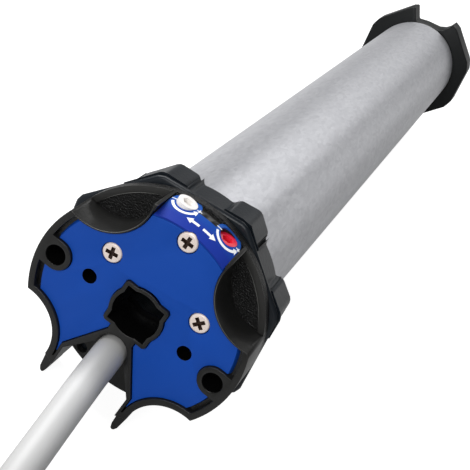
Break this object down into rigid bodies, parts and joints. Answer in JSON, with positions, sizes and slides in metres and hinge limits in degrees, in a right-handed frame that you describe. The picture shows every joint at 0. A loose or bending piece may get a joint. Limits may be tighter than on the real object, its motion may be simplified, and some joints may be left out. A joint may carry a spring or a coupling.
{
  "type": "tubular roller blind motor",
  "caption": "Round motor with a wall-bracket head, an idler crown, a long steel tube and an octagonal drive wheel, for turning a roller blind's tube from inside.",
  "frame": {"origin": "centre of the head's face on the motor axis, in the mouth of the bracket socket", "axes": "+Y along the motor axis into the blind's tube, +Z towards the label and the adjusters, +X to the right looking at the head's face"},
  "size_m": [0.077, 0.5879, 0.0619],
  "materials": {
    "housing_black": "moulded, matt",
    "rim_charcoal": "moulded, matt",
    "plate_blue": "moulded, satin",
    "label_violet": "printed label, satin",
    "screw_zinc": "zinc plated",
    "adjuster_white": "moulded, gloss",
    "adjuster_red": "moulded, gloss",
    "steel": "ground",
    "spring_steel": "tempered",
    "gear_steel": "sintered, oiled",
    "brass": "turned",
    "nylon_natural": "moulded",
    "switch_black": "moulded",
    "wire_insulation": "extruded",
    "capacitor_white": "moulded",
    "cast_aluminium": "cast and turned",
    "lamination_steel": "stamped, stacked",
    "winding_copper": "enamelled wire",
    "brake_lining": "moulded",
    "galvanised": "galvanised",
    "cable_white": "extruded, smooth",
    "tie_black": "moulded"
  },
  "bodies": {
    "motor_body": {"head_housing": "housing_black", "face_plate": "plate_blue", "label_strip": "label_violet", "face_screws": "screw_zinc", "head_hub": "rim_charcoal", "crown_clip": "spring_steel", "limit_frame": "nylon_natural", "limit_switches": "switch_black", "cable_plug": "rim_charcoal", "inner_leads": "wire_insulation", "capacitor": "capacitor_white", "capacitor_cradle": "nylon_natural", "front_shield": "cast_aluminium", "front_bearing": "steel", "stator_core": "lamination_steel", "end_windings": "winding_copper", "rear_shield": "cast_aluminium", "rear_bearing": "steel", "brake_spring": "spring_steel", "brake_housing": "nylon_natural", "ring_gear": "gear_steel", "output_bush": "brass", "tube_end": "cast_aluminium", "motor_tube": "galvanised", "cable_run": "cable_white", "cable_hank": "cable_white", "cable_cores": "wire_insulation", "hank_tie": "tie_black"},
    "crown": {"crown": "housing_black"},
    "limit_pinion": {"limit_pinion": "brass"},
    "cam_wheel_up": {"cam_wheel_up": "nylon_natural"},
    "cam_wheel_down": {"cam_wheel_down": "nylon_natural"},
    "adjuster_up": {"adjuster_up": "adjuster_white"},
    "adjuster_down": {"adjuster_down": "adjuster_red"},
    "adjuster_rod_up": {"adjuster_rod_up": "steel"},
    "adjuster_rod_down": {"adjuster_rod_down": "steel"},
    "rotor": {"rotor_core": "lamination_steel", "rotor_shaft": "steel", "brake_disc": "brake_lining", "motor_pinion": "gear_steel"},
    "brake_plate": {"brake_plate": "steel"},
    "carrier_1": {"carrier_1": "gear_steel"},
    "carrier_2": {"carrier_2": "gear_steel"},
    "output": {"output_carrier": "gear_steel", "output_shaft": "steel", "drive_wheel": "housing_black", "wheel_clip": "spring_steel"},
    "planet_1a": {"planet_1a": "gear_steel"},
    "planet_1b": {"planet_1b": "gear_steel"},
    "planet_1c": {"planet_1c": "gear_steel"},
    "planet_2a": {"planet_2a": "gear_steel"},
    "planet_2b": {"planet_2b": "gear_steel"},
    "planet_2c": {"planet_2c": "gear_steel"},
    "planet_3a": {"planet_3a": "gear_steel"},
    "planet_3b": {"planet_3b": "gear_steel"},
    "planet_3c": {"planet_3c": "gear_steel"}
  },
  "joints": [
    {"name": "crown_spin", "type": "hinge", "parent": "motor_body", "child": "crown", "pos_m": [0, 0.0187, 0], "axis": [0, 1, 0], "continuous": true},
    {"name": "limit_pinion_spin", "type": "hinge", "parent": "motor_body", "child": "limit_pinion", "pos_m": [0.018, 0.0145, 0], "axis": [0, 1, 0], "continuous": true},
    {"name": "cam_wheel_up_spin", "type": "hinge", "parent": "motor_body", "child": "cam_wheel_up", "pos_m": [0.005, 0.0422, 0], "axis": [0, 0, 1], "continuous": true},
    {"name": "cam_wheel_down_spin", "type": "hinge", "parent": "motor_body", "child": "cam_wheel_down", "pos_m": [0.005, 0.0422, 0], "axis": [0, 0, 1], "continuous": true},
    {"name": "adjuster_up_turn", "type": "hinge", "parent": "motor_body", "child": "adjuster_up", "pos_m": [-0.0062, 0.0073, 0.025], "axis": [0, 0, 1], "continuous": true},
    {"name": "adjuster_down_turn", "type": "hinge", "parent": "motor_body", "child": "adjuster_down", "pos_m": [0.0062, 0.0073, 0.025], "axis": [0, 0, 1], "continuous": true},
    {"name": "adjuster_rod_up_spin", "type": "hinge", "parent": "motor_body", "child": "adjuster_rod_up", "pos_m": [-0.0062, 0.02, 0.017], "axis": [0, 1, 0], "continuous": true},
    {"name": "adjuster_rod_down_spin", "type": "hinge", "parent": "motor_body", "child": "adjuster_rod_down", "pos_m": [0.0062, 0.02, 0.017], "axis": [0, 1, 0], "continuous": true},
    {"name": "rotor_spin", "type": "hinge", "parent": "motor_body", "child": "rotor", "pos_m": [0, 0.1592, 0], "axis": [0, 1, 0], "continuous": true},
    {"name": "brake_release", "type": "slide", "parent": "motor_body", "child": "brake_plate", "axis": [0, 1, 0], "range_m": [-0.0005, 0], "stiffness_N_per_m": 4000, "springref_m": 0.0015},
    {"name": "carrier_1_spin", "type": "hinge", "parent": "motor_body", "child": "carrier_1", "pos_m": [0, 0.2373, 0], "axis": [0, 1, 0], "continuous": true},
    {"name": "carrier_2_spin", "type": "hinge", "parent": "motor_body", "child": "carrier_2", "pos_m": [0, 0.2573, 0], "axis": [0, 1, 0], "continuous": true},
    {"name": "output_spin", "type": "hinge", "parent": "motor_body", "child": "output", "pos_m": [0, 0.3119, 0], "axis": [0, 1, 0], "continuous": true},
    {"name": "planet_1a_spin", "type": "hinge", "parent": "carrier_1", "child": "planet_1a", "pos_m": [0.01013, 0.2297, 0], "axis": [0, 1, 0], "continuous": true},
    {"name": "planet_1b_spin", "type": "hinge", "parent": "carrier_1", "child": "planet_1b", "pos_m": [-0.00506, 0.2297, 0.00877], "axis": [0, 1, 0], "continuous": true},
    {"name": "planet_1c_spin", "type": "hinge", "parent": "carrier_1", "child": "planet_1c", "pos_m": [-0.00506, 0.2297, -0.00877], "axis": [0, 1, 0], "continuous": true},
    {"name": "planet_2a_spin", "type": "hinge", "parent": "carrier_2", "child": "planet_2a", "pos_m": [0.01013, 0.2497, 0], "axis": [0, 1, 0], "continuous": true},
    {"name": "planet_2b_spin", "type": "hinge", "parent": "carrier_2", "child": "planet_2b", "pos_m": [-0.00506, 0.2497, 0.00877], "axis": [0, 1, 0], "continuous": true},
    {"name": "planet_2c_spin", "type": "hinge", "parent": "carrier_2", "child": "planet_2c", "pos_m": [-0.00506, 0.2497, -0.00877], "axis": [0, 1, 0], "continuous": true},
    {"name": "planet_3a_spin", "type": "hinge", "parent": "output", "child": "planet_3a", "pos_m": [0.01013, 0.2697, 0], "axis": [0, 1, 0], "continuous": true},
    {"name": "planet_3b_spin", "type": "hinge", "parent": "output", "child": "planet_3b", "pos_m": [-0.00506, 0.2697, 0.00877], "axis": [0, 1, 0], "continuous": true},
    {"name": "planet_3c_spin", "type": "hinge", "parent": "output", "child": "planet_3c", "pos_m": [-0.00506, 0.2697, -0.00877], "axis": [0, 1, 0], "continuous": true}
  ],
  "couplings": [
    {"joint": "limit_pinion_spin", "follows": "crown_spin", "ratio": 4},
    {"joint": "cam_wheel_up_spin", "follows": "crown_spin", "ratio": 0.13333},
    {"joint": "cam_wheel_down_spin", "follows": "crown_spin", "ratio": 0.13333},
    {"joint": "adjuster_rod_up_spin", "follows": "adjuster_up_turn", "ratio": -1},
    {"joint": "adjuster_rod_down_spin", "follows": "adjuster_down_turn", "ratio": -1},
    {"joint": "rotor_spin", "follows": "output_spin", "ratio": 216},
    {"joint": "carrier_1_spin", "follows": "output_spin", "ratio": 36},
    {"joint": "carrier_2_spin", "follows": "output_spin", "ratio": 6},
    {"joint": "planet_1a_spin", "follows": "output_spin", "ratio": -90},
    {"joint": "planet_1b_spin", "follows": "output_spin", "ratio": -90},
    {"joint": "planet_1c_spin", "follows": "output_spin", "ratio": -90},
    {"joint": "planet_2a_spin", "follows": "output_spin", "ratio": -15},
    {"joint": "planet_2b_spin", "follows": "output_spin", "ratio": -15},
    {"joint": "planet_2c_spin", "follows": "output_spin", "ratio": -15},
    {"joint": "planet_3a_spin", "follows": "output_spin", "ratio": -2.5},
    {"joint": "planet_3b_spin", "follows": "output_spin", "ratio": -2.5},
    {"joint": "planet_3c_spin", "follows": "output_spin", "ratio": -2.5}
  ]
}
